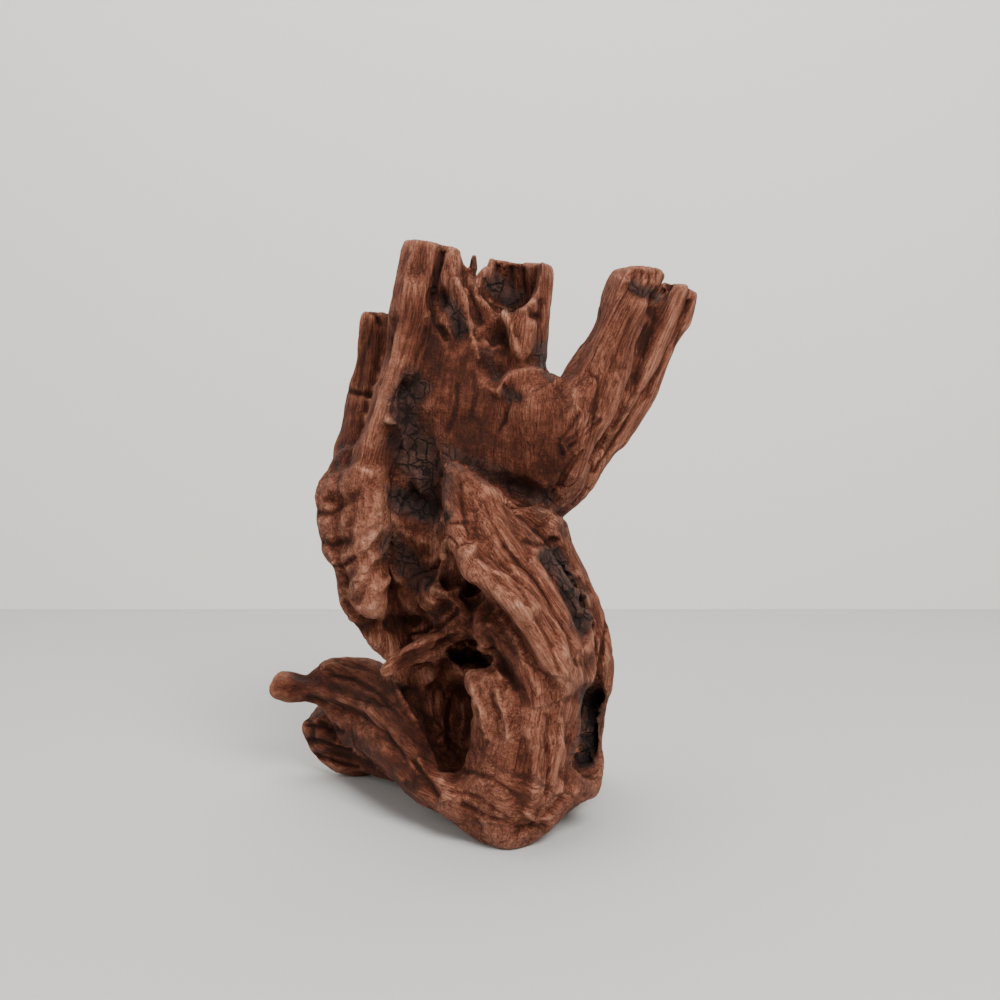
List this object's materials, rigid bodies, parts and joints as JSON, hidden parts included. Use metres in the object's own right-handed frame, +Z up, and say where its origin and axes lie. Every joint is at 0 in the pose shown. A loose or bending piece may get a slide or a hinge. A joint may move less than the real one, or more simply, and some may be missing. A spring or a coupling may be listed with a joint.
{
  "type": "driftwood",
  "caption": "Weathered driftwood root standing upright: twisting S-shaped body with split horns, a hollow stump, a pointed spur and a low side root, resting on low worn points.",
  "frame": {"origin": "centre of the bounding box in plan, at the level of the table that the three low points stand on", "axes": "+Z up, -Y towards the viewer of the front, +X to that viewer's right"},
  "size_m": [0.2108, 0.1272, 0.2679],
  "materials": {
    "wood": "bare, dry, weathered red-brown wood with open grain, paler ridges and charred hollows"
  },
  "bodies": {
    "root": {"driftwood": "wood"}
  },
  "joints": []
}
